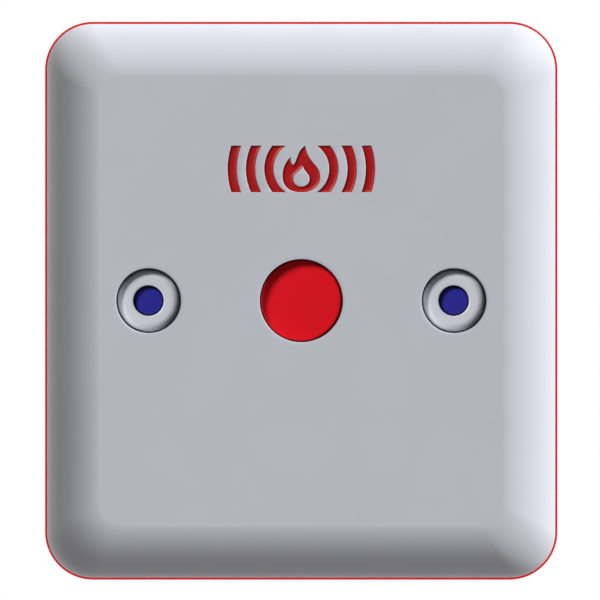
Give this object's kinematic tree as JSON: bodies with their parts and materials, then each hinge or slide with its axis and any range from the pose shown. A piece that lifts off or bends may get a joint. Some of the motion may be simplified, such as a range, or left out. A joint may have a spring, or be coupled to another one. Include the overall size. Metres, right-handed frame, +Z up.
{
  "type": "manual call point",
  "caption": "Square wall box closed by a pillow-edged grey plate with a recessed red push button, wordless flame symbol, capped screws, switch and terminals inside.",
  "frame": {"origin": "centre of the rear face of the back box, the face that lies on the wall", "axes": "+Y into the wall, so the front plate looks along -Y; +Z up the wall; +X to the right for someone facing the front"},
  "size_m": [0.1014, 0.0508, 0.1106],
  "materials": {
    "plate_grey": "fine satin",
    "symbol_red": "matte",
    "collar_grey": "satin",
    "cap_blue": "matte",
    "box_red": "fine satin",
    "button_red": "matte",
    "zinc_steel": "zinc plated",
    "spring_steel": "bright drawn wire",
    "brass": "turned",
    "black_rubber": "matte",
    "black_plastic": "satin",
    "white_nylon": "satin",
    "board_green": "solder resist",
    "terminal_green": "satin",
    "tinned_metal": "tinned",
    "resistor_tan": "lacquer",
    "resistor_blue": "lacquer",
    "diode_black": "moulded"
  },
  "bodies": {
    "housing": {"front_plate": "plate_grey", "symbol_inlay": "symbol_red", "left_screw_collar": "collar_grey", "right_screw_collar": "collar_grey", "left_screw_cap": "cap_blue", "right_screw_cap": "cap_blue", "plate_screws": "zinc_steel", "rim_gasket": "black_rubber", "back_box": "box_red", "threaded_inserts": "brass", "stop_washer": "black_rubber", "return_spring": "spring_steel", "button_retainer": "black_plastic", "retainer_screws": "zinc_steel", "circuit_board": "board_green", "board_screws": "zinc_steel", "switch_case": "black_plastic", "switch_cover": "black_plastic", "lever_pin": "zinc_steel", "switch_terminals": "tinned_metal", "terminal_housing": "terminal_green", "terminal_clamps": "tinned_metal", "terminal_screws": "zinc_steel", "terminal_pins": "tinned_metal", "alarm_resistor": "resistor_tan", "end_of_line_resistor": "resistor_blue", "blocking_diode": "diode_black"},
    "button": {"button_cap": "button_red", "button_stem": "white_nylon"},
    "lever": {"switch_lever": "spring_steel"},
    "plunger": {"switch_plunger": "white_nylon"}
  },
  "joints": [
    {"name": "button_press", "type": "slide", "parent": "housing", "child": "button", "axis": [0, 1, 0], "range_m": [0, 0.003], "stiffness_N_per_m": 800, "springref_m": -0.004, "deforming": ["return_spring"]},
    {"name": "lever_swing", "type": "hinge", "parent": "housing", "child": "lever", "pos_m": [-0.014, -0.02745, 0], "axis": [0, 0, 1], "range_deg": [0, 11.2]},
    {"name": "plunger_press", "type": "slide", "parent": "housing", "child": "plunger", "axis": [0, 1, 0], "range_m": [0, 0.0016]}
  ],
  "couplings": [
    {"joint": "lever_swing", "follows": "button_press", "rad_per_m": 65},
    {"joint": "plunger_press", "follows": "button_press", "ratio": 0.53}
  ]
}
